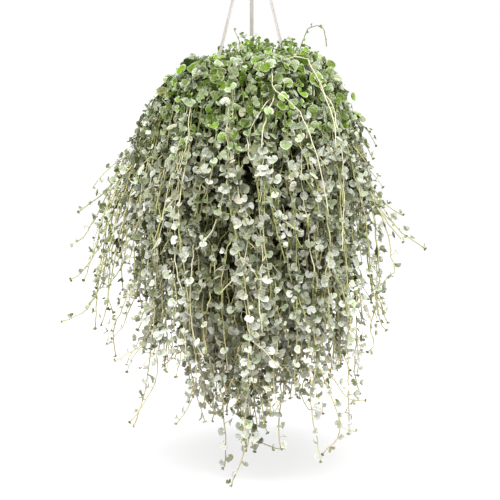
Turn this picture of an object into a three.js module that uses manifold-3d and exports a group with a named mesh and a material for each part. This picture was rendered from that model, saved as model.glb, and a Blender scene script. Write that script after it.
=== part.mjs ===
// A potted silver ponyfoot in a hanging pot: hanger, pot, soil, leafy crown and trailing tresses.
// Millimetres, +Z up. The origin is the top of the hook's inside, where the hanger bears.
// Seen from the front, along +Y, +X points right. Azimuths count from +X, anticlockwise from above.
import * as THREE from "three";
import { mergeVertices } from "three/addons/utils/BufferGeometryUtils.js";
import Module from "manifold-3d";

const wasm = await Module();
wasm.setup();

// Hanger: an open hook, a hub and three flat strips with a T-shaped foot each.
const HOOK_INSIDE = 15;
const HOOK_ROD = 5;
const HOOK_MOUTH_START = 195;
const HOOK_END = -80;
const HOOK_INSIDE_END = -98;
const HOOK_SEGMENTS = 14;
const HUB_TOP = -42;
const HUB_BOTTOM = -62;
const HUB_RADIUS = 7;
const HUB_SIDES = 12;
const STRIP_AZIMUTHS = [90, 210, 330];
const STRIP_TOP = { radius: 3, z: -58 };
const STRIP_SLOPE = 0.283;
const STRIP_WIDTH = 5.5;
const STRIP_THICKNESS = 2.2;
const FOOT_WIDTH = 11;
const FOOT_DEPTH = 4.4;
const FOOT_HEIGHT = 4;

// Pot: a tapered shell with a flange round its mouth.
const RIM_Z = -350;
const POT_HEIGHT = 135;
const POT_MOUTH_RADIUS = 79;
const POT_FLOOR_RADIUS = 58;
const POT_WALL = 2;
const POT_FLOOR = 3;
const FLANGE_RADIUS = 92;
const FLANGE_THICKNESS = 3;
const FLANGE_SKIRT = 10;
const FLANGE_SKIRT_WALL = 1.5;
const SLOT_CLEARANCE = 0.5;
const DRAIN_HOLES = 6;
const DRAIN_RADIUS = 4;
const DRAIN_CIRCLE = 38;
const DRAIN_SIDES = 8;
const POT_SIDES = 30;

// Soil: a plug a little below the rim, with a hole for each root stem.
const SOIL_EDGE_DEPTH = 12;
const SOIL_CENTRE_DEPTH = 6;
const ROOT_DEPTH = 16;
const ROOT_RADIUS = 3;
const ROOT_HOLE_RADIUS = 4.5;
const ROOT_HOLE_EXTRA = 1;
const ROOT_HOLE_SIDES = 5;

// The least room between two pieces, and how close two corners are joined as one.
const GAP = 0.3;
const WELD = 0.005;

// Crown: a low bush over the pot.
const CROWN_STEMS = 5;
const CROWN_STEM_CIRCLE = 16;
const CROWN_CORE = { radius: 50, height: 30, z: -272 };
const CROWN_LEAVES = 40;
const CROWN_LEAF_WIDTH = 38;
const CROWN_LEAF_SINK = 6;

// Three rings of tresses. A tress stands in the soil at rootRadius, tops out at its apex, comes down
// over its shoulder and then hangs.
const RINGS = {
  outer: { rootRadius: 40, apex: [94, -257], shoulder: [132, -285], leaves: 16, stems: 3 },
  middle: { rootRadius: 54, apex: [93, -292], shoulder: [120, -326], leaves: 12, stems: 2 },
  inner: { rootRadius: 68, apex: [95, -316], shoulder: [112, -350], leaves: 8, stems: 1 },
};

// How much higher the arches stand on the right than in the middle, and lower on the left.
const LEAN = 8;

// Each tress: its azimuth at the rim, how far out it hangs, and where its longest stem ends.
const TRESSES = [
  { ring: "outer", azimuth: 108, hang: [170, -430], tip: [112, 190, -650] },
  { ring: "outer", azimuth: 138, hang: [178, -430], tip: [148, 214, -610] },
  { ring: "outer", azimuth: 168, hang: [224, -430], tip: [180, 284, -636] },
  { ring: "outer", azimuth: 198, hang: [188, -430], tip: [194, 214, -694] },
  { ring: "outer", azimuth: 228, hang: [166, -430], tip: [232, 176, -700] },
  { ring: "outer", azimuth: 258, hang: [160, -430], tip: [262, 158, -730] },
  { ring: "outer", azimuth: 288, hang: [162, -430], tip: [292, 160, -742] },
  { ring: "outer", azimuth: 318, hang: [178, -430], tip: [326, 192, -802] },
  { ring: "outer", azimuth: 348, hang: [184, -430], tip: [355, 206, -654] },
  { ring: "outer", azimuth: 18, hang: [196, -410], tip: [14, 268, -526] },
  { ring: "outer", azimuth: 48, hang: [174, -430], tip: [52, 196, -640] },
  { ring: "outer", azimuth: 78, hang: [168, -430], tip: [84, 176, -700] },
  { ring: "middle", azimuth: 120, hang: [132, -440], tip: [118, 122, -742] },
  { ring: "middle", azimuth: 160, hang: [136, -440], tip: [158, 134, -700] },
  { ring: "middle", azimuth: 200, hang: [140, -440], tip: [206, 196, -790] },
  { ring: "middle", azimuth: 240, hang: [128, -440], tip: [236, 122, -782] },
  { ring: "middle", azimuth: 280, hang: [126, -440], tip: [284, 118, -796] },
  { ring: "middle", azimuth: 320, hang: [132, -440], tip: [312, 152, -836] },
  { ring: "middle", azimuth: 0, hang: [138, -440], tip: [356, 168, -754] },
  { ring: "middle", azimuth: 40, hang: [134, -440], tip: [42, 130, -716] },
  { ring: "middle", azimuth: 80, hang: [130, -440], tip: [78, 118, -760] },
  { ring: "inner", azimuth: 130, hang: [102, -480], tip: [136, 62, -780] },
  { ring: "inner", azimuth: 190, hang: [102, -480], tip: [188, 70, -790] },
  { ring: "inner", azimuth: 250, hang: [100, -480], tip: [204, 31, -884] },
  { ring: "inner", azimuth: 310, hang: [102, -480], tip: [318, 62, -828] },
  { ring: "inner", azimuth: 10, hang: [102, -480], tip: [6, 66, -770] },
  { ring: "inner", azimuth: 70, hang: [100, -480], tip: [64, 48, -810] },
];

// A stem is stout where it leaves the soil and fine at its tip.
const STEM_RADII = [ROOT_RADIUS, ROOT_RADIUS, 7.5, 9, 5, 1.3];
const SIDE_STEM_RADII = [4, 3.4, 1.1];
const STEM_SIDES = 4;
// Where a main stem has its sections, as steps between the points that its route is given by.
const STEM_SECTIONS = [0, 1, 2, 2.5, 3, 3.5, 4, 4.5, 5, 6, 7];
const SIDE_STEM_START = 4;
const SIDE_STEM_FIRST = 0.34;
const SIDE_STEM_SIDES = 3;
const SIDE_STEM_BENDS = 4;
const SIDE_STEM_STEPS = 6;
const SIDE_STEM_SPREAD = 24;
const SIDE_STEM_BULGE = 12;

const TRESS_LEAF_WIDTH = 34;
const TIP_LEAF_WIDTH = 17;
const LEAF_START = 0.1;
const LEAF_CROWDING = 1.08;
const LEAF_THICKNESS = 2;
const LEAF_SINK = 3;
const LEAF_ROOT = 0.5;
const LEAF_STALK = 0.25;
const LEAF_MIDDLE = 0.5;
// Half of a leaf's rim, from its stalk to its top: sideways, forward and lift, as shares of its width.
const LEAF_RIM = [
  [0.05, 0.25, 0.01],
  [0.41, 0.18, 0.1],
  [0.46, 0.63, 0.15],
];
const LEAF_TOP = [0, 0.93, 0.11];
const LEAF_TRIES = 12;

const white = { color: 0xe4e1da, roughness: 0.45, metalness: 0 };
const anthracite = { color: 0x2b2d2c, roughness: 0.55, metalness: 0 };
const peat = { color: 0x463022, roughness: 1, metalness: 0 };
const green = { color: 0x93a888, roughness: 0.8, metalness: 0 };
const silver = { color: 0xb9bfb0, roughness: 0.8, metalness: 0 };

const rad = THREE.MathUtils.degToRad;
const up = new THREE.Vector3(0, 0, 1);

// A point from its distance to the axis, its azimuth in degrees and its height.
function around(radius, azimuth, z) {
  return new THREE.Vector3(radius * Math.cos(rad(azimuth)), radius * Math.sin(rad(azimuth)), z);
}

// The level directions away from the pot's axis and round it.
function awayFromAxis(point) {
  return new THREE.Vector3(point.x, point.y, 0).normalize();
}

function roundAxis(point) {
  return new THREE.Vector3().crossVectors(up, awayFromAxis(point));
}

function seededRandom(seed) {
  let state = seed;
  return () => {
    state = (state + 0x6d2b79f5) | 0;
    let mixed = Math.imul(state ^ (state >>> 15), 1 | state);
    mixed = (mixed + Math.imul(mixed ^ (mixed >>> 7), 61 | mixed)) ^ mixed;
    return ((mixed ^ (mixed >>> 14)) >>> 0) / 4294967296;
  };
}

function solidOf(geometry, weld = 1e-4) {
  const bare = geometry.clone();
  bare.deleteAttribute("normal");
  bare.deleteAttribute("uv");
  const merged = mergeVertices(bare, weld);
  return solidFrom(merged.attributes.position.array, merged.index.array);
}

function solidFrom(positions, triangles) {
  const vertProperties = new Float32Array(positions);
  const triVerts = new Uint32Array(triangles);
  return new wasm.Manifold(new wasm.Mesh({ numProp: 3, vertProperties, triVerts }));
}

// The outer surface of a solid's largest body: hollows sealed by joining are filled, scraps dropped.
function whole(solid) {
  const bodies = solidOf(geometryOf(solid), WELD).decompose();
  return bodies.reduce((best, next) => (next.volume() > best.volume() ? next : best));
}

function geometryOf(solid) {
  const { vertProperties, triVerts } = solid.getMesh();
  const geometry = new THREE.BufferGeometry();
  geometry.setAttribute("position", new THREE.Float32BufferAttribute(vertProperties, 3));
  geometry.setIndex(new THREE.Uint32BufferAttribute(triVerts, 1));
  return geometry;
}

function meshOf(name, solid, finish) {
  const geometry = geometryOf(whole(solid));
  geometry.computeVertexNormals();
  const mesh = new THREE.Mesh(geometry, new THREE.MeshStandardMaterial(finish));
  mesh.name = name;
  return mesh;
}

// A block whose middle is at the given point, turned about Z and then leaned outwards.
function block(size, middle, azimuth, lean = 0) {
  const geometry = new THREE.BoxGeometry(...size);
  geometry.rotateY(lean);
  geometry.rotateZ(rad(azimuth));
  geometry.translate(middle.x, middle.y, middle.z);
  return solidOf(geometry);
}

function upright(radius, bottom, top, x, y, sides) {
  const geometry = new THREE.CylinderGeometry(radius, radius, top - bottom, sides);
  geometry.rotateX(Math.PI / 2);
  geometry.translate(x, y, (top + bottom) / 2);
  return solidOf(geometry);
}

function turned(profile, sides) {
  const points = profile.map(([radius, z]) => new THREE.Vector2(radius, z));
  const geometry = new THREE.LatheGeometry(points, sides);
  geometry.rotateX(Math.PI / 2);
  return solidOf(geometry);
}

function stripRadius(z) {
  return STRIP_TOP.radius + (STRIP_TOP.z - z) * STRIP_SLOPE;
}

function makeHanger() {
  const outside = HOOK_INSIDE + HOOK_ROD;
  const mouth = rad(HOOK_MOUTH_START);
  const hook = new THREE.Shape();
  hook.absarc(0, -HOOK_INSIDE, outside, mouth, rad(HOOK_END), true);
  hook.lineTo(HOOK_ROD / 2, HUB_TOP - 1);
  hook.lineTo(-HOOK_ROD / 2, HUB_TOP - 1);
  hook.absarc(0, -HOOK_INSIDE, HOOK_INSIDE, rad(HOOK_INSIDE_END), mouth, false);
  const plate = new THREE.ExtrudeGeometry(hook, {
    depth: HOOK_ROD,
    bevelEnabled: false,
    curveSegments: HOOK_SEGMENTS,
  });
  plate.translate(0, 0, -HOOK_ROD / 2);
  plate.rotateX(Math.PI / 2);
  let hanger = solidOf(plate).add(upright(HUB_RADIUS, HUB_BOTTOM, HUB_TOP, 0, 0, HUB_SIDES));
  const footTop = RIM_Z - FLANGE_THICKNESS - GAP;
  const bottom = footTop - FOOT_HEIGHT / 2;
  const lean = -Math.atan(STRIP_SLOPE);
  const length = (STRIP_TOP.z - bottom) * Math.hypot(1, STRIP_SLOPE);
  for (const azimuth of STRIP_AZIMUTHS) {
    const middleZ = (STRIP_TOP.z + bottom) / 2;
    const middle = around(stripRadius(middleZ), azimuth, middleZ);
    const strip = block([STRIP_THICKNESS, STRIP_WIDTH, length], middle, azimuth, lean);
    const footMiddle = around(stripRadius(bottom), azimuth, bottom);
    const foot = block([FOOT_DEPTH, FOOT_WIDTH, FOOT_HEIGHT], footMiddle, azimuth);
    hanger = hanger.add(strip).add(foot);
  }
  return hanger;
}

function makePot() {
  const bottom = RIM_Z - POT_HEIGHT;
  const under = RIM_Z - FLANGE_THICKNESS;
  const skirt = FLANGE_RADIUS - FLANGE_SKIRT_WALL;
  let pot = turned(
    [
      [0, bottom],
      [POT_FLOOR_RADIUS + POT_WALL, bottom],
      [POT_MOUTH_RADIUS + POT_WALL, under],
      [skirt, under],
      [skirt, RIM_Z - FLANGE_SKIRT],
      [FLANGE_RADIUS, RIM_Z - FLANGE_SKIRT],
      [FLANGE_RADIUS, RIM_Z],
      [POT_MOUTH_RADIUS, RIM_Z],
      [POT_FLOOR_RADIUS, bottom + POT_FLOOR],
      [0, bottom + POT_FLOOR],
    ],
    POT_SIDES,
  );
  const slotMiddle = RIM_Z - FLANGE_THICKNESS / 2;
  const slotDepth = STRIP_THICKNESS + FLANGE_THICKNESS * STRIP_SLOPE + 2 * SLOT_CLEARANCE;
  const slotWidth = STRIP_WIDTH + 2 * SLOT_CLEARANCE;
  for (const azimuth of STRIP_AZIMUTHS) {
    const middle = around(stripRadius(slotMiddle), azimuth, slotMiddle);
    pot = pot.subtract(block([slotDepth, slotWidth, FLANGE_THICKNESS * 2], middle, azimuth));
  }
  for (let i = 0; i < DRAIN_HOLES; i += 1) {
    const at = around(DRAIN_CIRCLE, (i * 360) / DRAIN_HOLES, bottom);
    const above = bottom + POT_FLOOR + 1;
    pot = pot.subtract(upright(DRAIN_RADIUS, bottom - 1, above, at.x, at.y, DRAIN_SIDES));
  }
  return pot;
}

function makeSoil(roots) {
  const bottom = RIM_Z - POT_HEIGHT + POT_FLOOR;
  const edge = RIM_Z - SOIL_EDGE_DEPTH;
  const taper = (POT_MOUTH_RADIUS - POT_FLOOR_RADIUS) / (RIM_Z - bottom);
  const edgeRadius = POT_MOUTH_RADIUS - SOIL_EDGE_DEPTH * taper - 2 * GAP;
  let soil = turned(
    [
      [0, bottom + GAP],
      [POT_FLOOR_RADIUS - 2 * GAP, bottom + GAP],
      [edgeRadius, edge],
      [0, RIM_Z - SOIL_CENTRE_DEPTH],
    ],
    POT_SIDES,
  );
  for (const { x, y, z } of roots) {
    const holeBottom = z - ROOT_HOLE_EXTRA;
    soil = soil.subtract(upright(ROOT_HOLE_RADIUS, holeBottom, RIM_Z, x, y, ROOT_HOLE_SIDES));
  }
  return soil;
}

// The sections of a stem: its points, each with a radius blended through the given list.
function sectionsOf(points, radii) {
  return points.map((point, i) => {
    const place = (i / (points.length - 1)) * (radii.length - 1);
    const index = Math.min(Math.floor(place), radii.length - 2);
    const radius = THREE.MathUtils.lerp(radii[index], radii[index + 1], place - index);
    return { point, radius };
  });
}

// A closed stem through its sections. Each section has one side that faces round the pot's axis.
function stem(sections, sides) {
  const positions = [];
  const triangles = [];
  const steps = sections.length - 1;
  sections.forEach(({ point: middle, radius }, i) => {
    const before = sections[Math.max(i - 1, 0)].point;
    const after = sections[Math.min(i + 1, steps)].point;
    const forward = after.clone().sub(before).normalize();
    const normal = new THREE.Vector3().crossVectors(roundAxis(middle), forward).normalize();
    const binormal = new THREE.Vector3().crossVectors(forward, normal);
    for (let j = 0; j < sides; j += 1) {
      const angle = ((j + 0.5) * 2 * Math.PI) / sides;
      const point = middle
        .clone()
        .addScaledVector(normal, radius * Math.cos(angle))
        .addScaledVector(binormal, radius * Math.sin(angle));
      positions.push(...point.toArray());
      if (i < steps) {
        const here = i * sides + j;
        const next = i * sides + ((j + 1) % sides);
        triangles.push(here, next, next + sides, here, next + sides, here + sides);
      }
    }
  });
  const last = steps * sides;
  for (let j = 1; j < sides - 1; j += 1) {
    triangles.push(0, j + 1, j, last, last + j, last + j + 1);
  }
  return solidFrom(positions, triangles);
}

// The point and the radius at a share of a stem's length.
function placeAlong(sections, share) {
  const lengths = sections.slice(1).map(({ point }, i) => point.distanceTo(sections[i].point));
  let left = share * lengths.reduce((sum, length) => sum + length, 0);
  let index = 0;
  while (index < lengths.length - 1 && left > lengths[index]) {
    left -= lengths[index];
    index += 1;
  }
  const part = left / lengths[index];
  const here = sections[index];
  const next = sections[index + 1];
  return {
    point: here.point.clone().lerp(next.point, part),
    radius: THREE.MathUtils.lerp(here.radius, next.radius, part),
  };
}

// A cupped kidney leaf on a short stalk. It grows from its base towards grow and faces towards face.
// Both faces are fans of the same triangles, from the rim to the leaf's middle.
function leaf(base, grow, face, width, thickness = LEAF_THICKNESS) {
  const along = grow.clone().normalize();
  const across = new THREE.Vector3().crossVectors(along, face).normalize();
  const normal = new THREE.Vector3().crossVectors(across, along);
  const place = (sideways, forward, lift) =>
    base
      .clone()
      .addScaledVector(across, sideways)
      .addScaledVector(along, forward)
      .addScaledVector(normal, lift);
  const half = LEAF_RIM.map(([x, y, lift]) => place(x * width, y * width, lift * width));
  const mirrored = LEAF_RIM.map(([x, y, lift]) => place(-x * width, y * width, lift * width));
  const [, topForward, topLift] = LEAF_TOP;
  const top = place(0, topForward * width, topLift * width);
  const rim = [place(0, -LEAF_ROOT, 0), ...half, top, ...mirrored.reverse()];
  const middle = LEAF_MIDDLE * width;
  const points = [...rim, place(0, middle, thickness / 2), place(0, middle, -thickness / 2)];
  const triangles = rim.flatMap((_, i) => {
    const next = (i + 1) % rim.length;
    return [rim.length, i, next, rim.length + 1, next, i];
  });
  return solidFrom(
    points.flatMap((point) => point.toArray()),
    triangles,
  );
}

// What has been placed so far, so that the next leaf can be kept clear of it.
const placed = [];

function record(solid, owner, isLeaf) {
  const bounds = solid.boundingBox();
  placed.push({ solid, owner, isLeaf, bounds });
  return solid;
}

function boxesMeet(a, b) {
  return [0, 1, 2].every((i) => a.min[i] <= b.max[i] && b.min[i] <= a.max[i]);
}

// Whether a leaf with a little room round it keeps off every other leaf and off all that isn't its
// owner's, and its blade off the owner's own stems.
function isClear(guard, blade, owner) {
  const bounds = guard.boundingBox();
  return placed.every((other) => {
    const own = other.owner === owner && !other.isLeaf;
    return !boxesMeet(bounds, other.bounds) || (own ? blade : guard).intersect(other.solid).isEmpty();
  });
}

// Tries a few ways of setting one leaf, and gives back its solid, or nothing if none is clear.
function setLeaf(owner, propose) {
  for (let attempt = 0; attempt < LEAF_TRIES; attempt += 1) {
    const { base, grow, face, width } = propose(attempt);
    const guard = leaf(base, grow, face, width * 1.04, LEAF_THICKNESS + 3 * GAP);
    const beyond = base.clone().addScaledVector(grow.clone().normalize(), LEAF_STALK * width);
    const blade = leaf(beyond, grow, face, width * (1 - LEAF_STALK));
    if (isClear(guard, blade, owner)) {
      return record(leaf(base, grow, face, width), owner, true);
    }
  }
  return null;
}

function randomDirection(draw) {
  const z = draw() * 2 - 1;
  const turn = draw() * 2 * Math.PI;
  const flat = Math.sqrt(1 - z * z);
  return new THREE.Vector3(flat * Math.cos(turn), flat * Math.sin(turn), z);
}

function curveThrough(points) {
  return new THREE.CatmullRomCurve3(points, false, "centripetal");
}

// The sections of a tress's longest stem, from the bottom of its root hole to its tip.
function mainRoute(tress) {
  const ring = RINGS[tress.ring];
  const rise = LEAN * Math.cos(rad(tress.azimuth));
  const apexRadius = ring.apex[0];
  const apexZ = ring.apex[1] + rise;
  const shoulderRadius = ring.shoulder[0];
  const shoulderZ = ring.shoulder[1] + rise;
  const [hangRadius, hangZ] = tress.hang;
  const [tipAzimuth, tipRadius, tipZ] = tress.tip;
  const rootZ = RIM_Z - SOIL_EDGE_DEPTH - ROOT_DEPTH;
  const turn = ((tipAzimuth - tress.azimuth + 540) % 360) - 180;
  const lowZ = THREE.MathUtils.lerp(hangZ, tipZ, 0.5);
  const lowRadius = THREE.MathUtils.lerp(hangRadius, tipRadius, 0.45);
  const points = [
    around(ring.rootRadius, tress.azimuth, rootZ),
    around(ring.rootRadius, tress.azimuth, RIM_Z - 2),
    around((ring.rootRadius + apexRadius) / 2 - 4, tress.azimuth, apexZ - 18),
    around(apexRadius, tress.azimuth, apexZ),
    around(shoulderRadius, tress.azimuth, shoulderZ),
    around(hangRadius, tress.azimuth + turn * 0.15, hangZ),
    around(lowRadius, tress.azimuth + turn * 0.6, lowZ),
    around(tipRadius, tress.azimuth + turn, tipZ),
  ];
  const curve = curveThrough(points);
  const placed = STEM_SECTIONS.map((step) => curve.getPoint(step / (points.length - 1)));
  return sectionsOf(placed, STEM_RADII);
}

// A side stem leaves the main one near its apex and hangs beside it, with a shorter reach.
function sideRoute(main, side, reach, draw) {
  const points = [main[SIDE_STEM_START].point];
  for (let i = 1; i <= SIDE_STEM_BENDS; i += 1) {
    const share = i / SIDE_STEM_BENDS;
    const beside = placeAlong(main, THREE.MathUtils.lerp(SIDE_STEM_FIRST, reach, share)).point;
    const spread = SIDE_STEM_SPREAD * Math.min(1, share * 1.8) * (0.8 + 0.4 * draw());
    const beyond = SIDE_STEM_BULGE * (draw() - 0.3);
    const tangent = roundAxis(beside);
    beside.addScaledVector(awayFromAxis(beside), beyond).addScaledVector(tangent, side * spread);
    points.push(beside);
  }
  return sectionsOf(curveThrough(points).getPoints(SIDE_STEM_STEPS), SIDE_STEM_RADII);
}

// The stems of one tress: the longest in the middle and the side ones by turns left and right.
function tressStems(tress, index, draw) {
  const main = mainRoute(tress);
  const stems = [{ sections: main, from: LEAF_START, share: 1 }];
  for (let i = 1; i < RINGS[tress.ring].stems; i += 1) {
    const side = (index + i) % 2 ? 1 : -1;
    const sections = sideRoute(main, side, 0.7 + 0.22 * draw(), draw);
    stems.push({ sections, from: 0.12, share: 0.75 });
  }
  return stems;
}

function makeSkeleton(stems) {
  const [main, ...sides] = stems;
  return sides.reduce(
    (joined, side) => joined.add(stem(side.sections, SIDE_STEM_SIDES)),
    stem(main.sections, STEM_SIDES),
  );
}

// Leaves along the stems of a tress. On the shoulder they stand up, lower down they face outwards.
function leafTress(name, tress, stems, skeleton, draw) {
  let solid = skeleton;
  const shares = stems.reduce((sum, one) => sum + one.share, 0);
  for (const { sections, from, share } of stems) {
    const count = Math.round((RINGS[tress.ring].leaves * share) / shares);
    for (let i = 0; i < count; i += 1) {
      const made = setLeaf(name, (attempt) => {
        const even = (i + 0.9 + 0.25 * (draw() - 0.5)) / count;
        const dense = even ** LEAF_CROWDING;
        const along = Math.min(THREE.MathUtils.lerp(from, 1, dense) - 0.012 * attempt, 0.995);
        const { point, radius } = placeAlong(sections, along);
        const outward = awayFromAxis(point);
        const hanging = THREE.MathUtils.smoothstep(-point.z, 260, 340);
        const side = (i + attempt) % 2 ? 1 : -1;
        const face = outward
          .clone()
          .multiplyScalar(0.35 + 0.55 * hanging)
          .addScaledVector(up, 0.9 - 0.55 * hanging)
          .addScaledVector(randomDirection(draw), 0.3);
        const grow = roundAxis(point)
          .multiplyScalar(side * (0.6 + 0.5 * draw()))
          .addScaledVector(outward, 0.35)
          .addScaledVector(up, (draw() - 0.4) * 1.1)
          .normalize();
        const base = point.addScaledVector(grow, Math.max(radius - LEAF_SINK, 0));
        const tipward = THREE.MathUtils.smoothstep(along, 0.7, 1);
        const width = THREE.MathUtils.lerp(TRESS_LEAF_WIDTH, TIP_LEAF_WIDTH, tipward);
        return { base, grow, face, width: width * (0.9 + 0.2 * draw()) };
      });
      if (made) {
        solid = solid.add(made);
      }
    }
  }
  return solid;
}

function crownRoots() {
  const rootZ = RIM_Z - SOIL_EDGE_DEPTH - ROOT_DEPTH;
  return Array.from({ length: CROWN_STEMS }, (_, i) =>
    around(CROWN_STEM_CIRCLE, (i * 360) / CROWN_STEMS + 30, rootZ),
  );
}

// The crown's short stems and the small dense core that its leaves stand out of.
function makeCrownCore() {
  const core = new THREE.SphereGeometry(1, 9, 5);
  core.rotateX(Math.PI / 2);
  core.scale(CROWN_CORE.radius, CROWN_CORE.radius, CROWN_CORE.height);
  core.translate(0, 0, CROWN_CORE.z);
  let solid = solidOf(core);
  for (const root of crownRoots()) {
    const collar = new THREE.Vector3(root.x, root.y, RIM_Z);
    const top = new THREE.Vector3(root.x * 1.3, root.y * 1.3, CROWN_CORE.z);
    const sections = sectionsOf([root, collar, top], [ROOT_RADIUS, ROOT_RADIUS]);
    solid = solid.add(stem(sections, STEM_SIDES));
  }
  return solid;
}

function leafCrown(name, core, draw) {
  let solid = core;
  const golden = Math.PI * (3 - Math.sqrt(5));
  for (let i = 0; i < CROWN_LEAVES; i += 1) {
    const tilt = Math.acos(1 - (1.25 * (i + 0.5)) / CROWN_LEAVES);
    const made = setLeaf(name, (attempt) => {
      const turn = i * golden + attempt * 0.21;
      const out = new THREE.Vector3(
        Math.sin(tilt) * Math.cos(turn),
        Math.sin(tilt) * Math.sin(turn),
        Math.cos(tilt),
      );
      const base = new THREE.Vector3(
        out.x * CROWN_CORE.radius,
        out.y * CROWN_CORE.radius,
        CROWN_CORE.z + out.z * CROWN_CORE.height,
      );
      base.addScaledVector(out, -CROWN_LEAF_SINK);
      const grow = out.clone().addScaledVector(randomDirection(draw), 0.75);
      const face = up.clone().addScaledVector(randomDirection(draw), 0.8);
      return { base, grow, face, width: CROWN_LEAF_WIDTH * (0.85 + 0.3 * draw()) };
    });
    if (made) {
      solid = solid.add(made);
    }
  }
  return solid;
}

const ponyfoot = new THREE.Group();

const hanger = record(makeHanger(), "hanger", false);
const pot = record(makePot(), "pot", false);
const tresses = TRESSES.map((tress, i) => {
  const name = "tress_" + String(i + 1).padStart(2, "0");
  const draw = seededRandom(1000 + i * 17);
  const stems = tressStems(tress, i, draw);
  const skeleton = record(makeSkeleton(stems), name, false);
  return { name, tress, draw, stems, skeleton };
});
const crownCore = record(makeCrownCore(), "crown", false);
const tressRoots = tresses.map(({ stems }) => stems[0].sections[0].point);
const soil = record(makeSoil([...crownRoots(), ...tressRoots]), "soil", false);

ponyfoot.add(meshOf("hanger", hanger, white));
ponyfoot.add(meshOf("pot", pot, anthracite));
ponyfoot.add(meshOf("soil", soil, peat));
ponyfoot.add(meshOf("crown", leafCrown("crown", crownCore, seededRandom(11)), green));
for (const { name, tress, draw, stems, skeleton } of tresses) {
  const solid = leafTress(name, tress, stems, skeleton, draw);
  ponyfoot.add(meshOf(name, solid, silver));
}

export default ponyfoot;
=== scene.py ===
import math
from functools import partial
import bpy
import numpy as np
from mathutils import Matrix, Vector


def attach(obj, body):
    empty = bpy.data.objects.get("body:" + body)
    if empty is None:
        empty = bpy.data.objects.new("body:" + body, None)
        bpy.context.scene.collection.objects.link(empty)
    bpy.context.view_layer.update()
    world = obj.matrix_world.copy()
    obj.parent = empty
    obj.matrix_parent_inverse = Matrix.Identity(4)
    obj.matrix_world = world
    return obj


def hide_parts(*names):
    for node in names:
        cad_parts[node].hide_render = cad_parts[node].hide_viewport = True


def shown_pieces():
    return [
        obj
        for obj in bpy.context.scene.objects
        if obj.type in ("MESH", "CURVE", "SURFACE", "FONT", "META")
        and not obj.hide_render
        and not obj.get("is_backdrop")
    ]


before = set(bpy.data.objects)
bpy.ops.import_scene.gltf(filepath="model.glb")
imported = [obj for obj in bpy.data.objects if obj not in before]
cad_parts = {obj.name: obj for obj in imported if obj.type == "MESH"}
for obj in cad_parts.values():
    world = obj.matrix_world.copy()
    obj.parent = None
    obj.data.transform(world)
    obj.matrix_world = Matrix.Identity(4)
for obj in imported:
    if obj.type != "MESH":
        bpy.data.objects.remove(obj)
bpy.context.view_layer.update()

# Trailing silver ponyfoot in a round hanging pot. The plant's routes are in millimetres, as in the
# CAD source, and every finished mesh is in metres.
mm = 0.001
up = np.array([0.0, 0.0, 1.0])
print("frame loaded:", len(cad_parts), "nodes")


# Small helpers for working as by hand


def nothingSelected():
    if bpy.context.object and bpy.context.object.mode != "OBJECT":
        bpy.ops.object.mode_set(mode="OBJECT")
    bpy.ops.object.select_all(action="DESELECT")


def onlySelected(*pieces):
    nothingSelected()
    for piece in pieces:
        piece.select_set(True)
    bpy.context.view_layer.objects.active = pieces[0]


def editWhole():
    bpy.ops.object.mode_set(mode="EDIT")
    bpy.ops.mesh.select_all(action="SELECT")


def editDone():
    bpy.ops.object.mode_set(mode="OBJECT")


def faceOutwards():
    editWhole()
    bpy.ops.mesh.normals_make_consistent(inside=False)
    editDone()


def pickPoints(piece, test):
    # leaves the piece in edit mode with the points that pass the test selected
    editDone()
    for part in (piece.data.vertices, piece.data.edges, piece.data.polygons):
        part.foreach_set("select", np.zeros(len(part), bool))
    for point in piece.data.vertices:
        point.select = bool(test(point.co))
    bpy.ops.object.mode_set(mode="EDIT")
    bpy.ops.mesh.select_mode(type="VERT")


def movePoints(piece, test, move):
    pickPoints(piece, test)
    bpy.ops.transform.translate(value=move)
    editDone()


def unit(direction):
    return direction / max(np.linalg.norm(direction), 1e-9)


def squareTo(axis, direction):
    # the part of a direction that stands square to the axis
    return unit(direction - axis * direction.dot(axis))


def eased(value):
    value = np.clip(value, 0, 1)
    return value * value * (3 - 2 * value)


def passed(value, start, reach):
    # from 0 at the start to 1 one reach further on
    return float(eased((value - start) / reach))


# Camera, light and floor

view = {
    "target": (-2.5, 0, -530.5),
    "distance": 2500,
    "elevation": 7,
    "frameWidth": 750,
    "sensor": 36,
}


def makeCamera():
    tilt = math.radians(view["elevation"])
    x, y, z = view["target"]
    back = view["distance"] * math.cos(tilt)
    rise = view["distance"] * math.sin(tilt)
    place = Vector((x, y - back, z + rise)) * mm
    nothingSelected()
    bpy.ops.object.camera_add(location=place, rotation=(math.pi / 2 - tilt, 0, 0))
    camera = bpy.context.object
    camera.name = "studioCamera"
    camera.data.sensor_width = view["sensor"]
    camera.data.lens = view["sensor"] * view["distance"] / view["frameWidth"]
    bpy.context.scene.camera = camera


studio = {
    "sky": 0.06,
    "backdrop": 1.0,
    "floorHeight": -889,
    "floorRadius": 40,
    "floorSides": 96,
    "floorColor": (0.48, 0.48, 0.48, 1),
    "floorRoughness": 0.9,
    "floorGlow": 0.53,
    # the overhead light comes from the front and is as soft as a large diffuser
    "sunFrom": (-0.05, -0.86, 1.22),
    "sunStrength": 3.9,
    "sunSoftness": 36,
    # each lamp: its name, its place in metres and its power
    "lamps": [
        ("leftSoftbox", (-2.2, -1.3, 0.1), 32),
        ("rightSoftbox", (2.2, -1.3, 0.1), 32),
        ("backSoftbox", (0.7, 1.9, 0.8), 36),
        ("lowBounce", (0.1, -1.5, -0.87), 3),
    ],
    "lampSize": 1.6,
    "lampsAim": (0, 0, -0.45),
}


def setInputs(node, values):
    for label, value in values.items():
        node.inputs[label].default_value = value


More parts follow.
